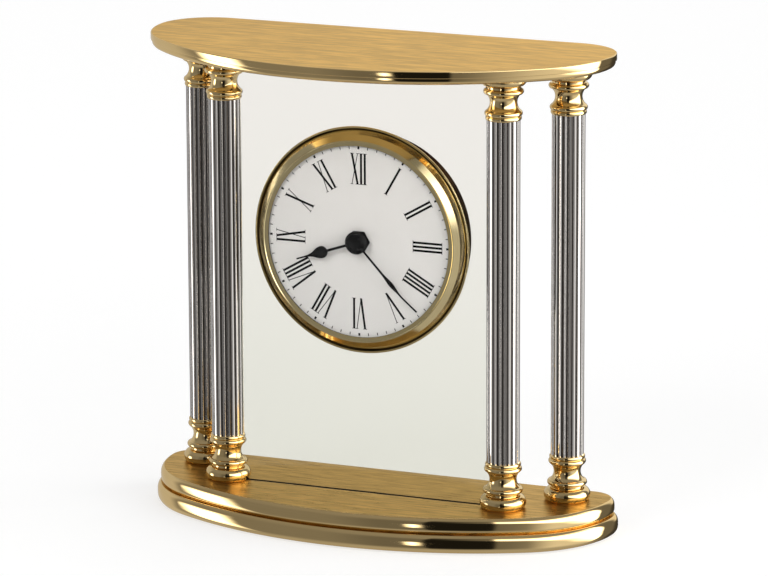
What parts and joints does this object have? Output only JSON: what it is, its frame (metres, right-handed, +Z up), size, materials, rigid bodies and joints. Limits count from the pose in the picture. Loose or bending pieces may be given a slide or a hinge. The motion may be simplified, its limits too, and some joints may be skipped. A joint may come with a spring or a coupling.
{
  "type": "column table clock",
  "caption": "Quartz table clock: D-shaped brass top and tiered base on fluted silver columns, with a round brass-rimmed Roman dial clamped in a clear panel.",
  "frame": {"origin": "bottom centre of the whole clock, on the surface that it stands on", "axes": "+Z up, -Y towards the front of the dial, +X to the right seen from the front"},
  "size_m": [0.19, 0.0833, 0.1882],
  "materials": {
    "gilt_brass": "polished and lacquered, brushed on the top faces",
    "silver_plate": "polished silver-coloured plate",
    "clear_glass": "clear, with a faint warm tint",
    "lens_glass": "clear and domed",
    "dial_paint": "matt off-white with black printing",
    "black_paint": "satin black",
    "felt": "pressed felt",
    "black_rubber": "matt",
    "zinc_steel": "zinc plated",
    "drum_metal": "spun",
    "black_plastic": "fine moulded texture",
    "train_plastic": "moulded, natural colour",
    "turned_brass": "bright turned",
    "rotor_magnet": "moulded magnet",
    "coil_wire": "enamelled copper wire",
    "board_laminate": "green solder mask",
    "plated_steel": "bright nickel plate",
    "cell_sleeve": "plain printed sleeve"
  },
  "bodies": {
    "clock_frame": {"base_lower_tier": "gilt_brass", "base_upper_tier": "gilt_brass", "top_plate": "gilt_brass", "bezel": "gilt_brass", "rear_clamp_ring": "gilt_brass", "column_foot_front_left": "gilt_brass", "column_foot_front_right": "gilt_brass", "column_foot_back_left": "gilt_brass", "column_foot_back_right": "gilt_brass", "column_capital_front_left": "gilt_brass", "column_capital_front_right": "gilt_brass", "column_capital_back_left": "gilt_brass", "column_capital_back_right": "gilt_brass", "column_shaft_front_left": "silver_plate", "column_shaft_front_right": "silver_plate", "column_shaft_back_left": "silver_plate", "column_shaft_back_right": "silver_plate", "glass_panel": "clear_glass", "lens": "lens_glass", "dial": "dial_paint", "felt_pad": "felt", "glass_cushion_lower": "black_rubber", "glass_cushion_upper": "black_rubber", "lens_gasket": "black_rubber", "glass_gasket_front": "black_rubber", "glass_gasket_rear": "black_rubber", "tie_rod_front_left": "zinc_steel", "tie_rod_front_right": "zinc_steel", "tie_rod_back_left": "zinc_steel", "tie_rod_back_right": "zinc_steel", "tie_rod_nuts": "zinc_steel", "tie_rod_washers": "zinc_steel", "tier_screws": "zinc_steel", "movement_screws": "zinc_steel", "stator": "zinc_steel", "case_drum": "drum_metal", "case_back": "black_plastic", "movement_case": "black_plastic", "movement_cover": "black_plastic", "threaded_bushing": "turned_brass", "dial_nut": "turned_brass", "coil": "coil_wire", "circuit_board": "board_laminate", "quartz_crystal": "plated_steel", "battery_contact_positive": "plated_steel", "battery_contact_negative": "plated_steel"},
    "minute_hand": {"minute_hand": "black_paint", "hand_cap": "black_paint", "minute_arbor": "turned_brass"},
    "hour_hand": {"hour_hand": "black_paint", "hour_wheel": "train_plastic"},
    "minute_wheel": {"minute_wheel": "train_plastic"},
    "set_knob": {"set_knob": "black_plastic"},
    "rotor": {"rotor": "rotor_magnet"},
    "intermediate_wheel": {"intermediate_wheel": "train_plastic"},
    "fourth_wheel": {"fourth_wheel": "train_plastic"},
    "third_wheel": {"third_wheel": "train_plastic"},
    "centre_wheel": {"centre_wheel": "train_plastic"},
    "battery": {"battery_cell": "cell_sleeve"}
  },
  "joints": [
    {"name": "minute_hand_turn", "type": "hinge", "parent": "clock_frame", "child": "minute_hand", "pos_m": [0, -0.00315, 0.1141], "axis": [0, 1, 0], "continuous": true},
    {"name": "hour_hand_turn", "type": "hinge", "parent": "clock_frame", "child": "hour_hand", "pos_m": [0, -0.00315, 0.1141], "axis": [0, 1, 0], "continuous": true},
    {"name": "minute_wheel_turn", "type": "hinge", "parent": "clock_frame", "child": "minute_wheel", "pos_m": [-0.00509, -0.00315, 0.11919], "axis": [0, 1, 0], "continuous": true},
    {"name": "set_knob_turn", "type": "hinge", "parent": "clock_frame", "child": "set_knob", "pos_m": [-0.01186, -0.00315, 0.12165], "axis": [0, 1, 0], "continuous": true},
    {"name": "rotor_turn", "type": "hinge", "parent": "clock_frame", "child": "rotor", "pos_m": [0.00081, -0.00315, 0.12361], "axis": [0, 1, 0], "continuous": true},
    {"name": "intermediate_wheel_turn", "type": "hinge", "parent": "clock_frame", "child": "intermediate_wheel", "pos_m": [0.00532, -0.00315, 0.12525], "axis": [0, 1, 0], "continuous": true},
    {"name": "fourth_wheel_turn", "type": "hinge", "parent": "clock_frame", "child": "fourth_wheel", "pos_m": [0.01017, -0.00315, 0.12245], "axis": [0, 1, 0], "continuous": true},
    {"name": "third_wheel_turn", "type": "hinge", "parent": "clock_frame", "child": "third_wheel", "pos_m": [0.00677, -0.00315, 0.11656], "axis": [0, 1, 0], "continuous": true},
    {"name": "centre_wheel_turn", "type": "hinge", "parent": "clock_frame", "child": "centre_wheel", "pos_m": [0, -0.00315, 0.1141], "axis": [0, 1, 0], "continuous": true},
    {"name": "battery_slide", "type": "slide", "parent": "clock_frame", "child": "battery", "axis": [0, 1, 0], "range_m": [0, 0.03]}
  ],
  "couplings": [
    {"joint": "hour_hand_turn", "follows": "minute_hand_turn", "ratio": 0.083333},
    {"joint": "minute_wheel_turn", "follows": "minute_hand_turn", "ratio": -0.33333},
    {"joint": "set_knob_turn", "follows": "minute_hand_turn", "ratio": 1},
    {"joint": "intermediate_wheel_turn", "follows": "rotor_turn", "ratio": -0.2},
    {"joint": "fourth_wheel_turn", "follows": "rotor_turn", "ratio": 0.033333},
    {"joint": "third_wheel_turn", "follows": "rotor_turn", "ratio": -0.0044444},
    {"joint": "centre_wheel_turn", "follows": "rotor_turn", "ratio": 0.00055556}
  ]
}
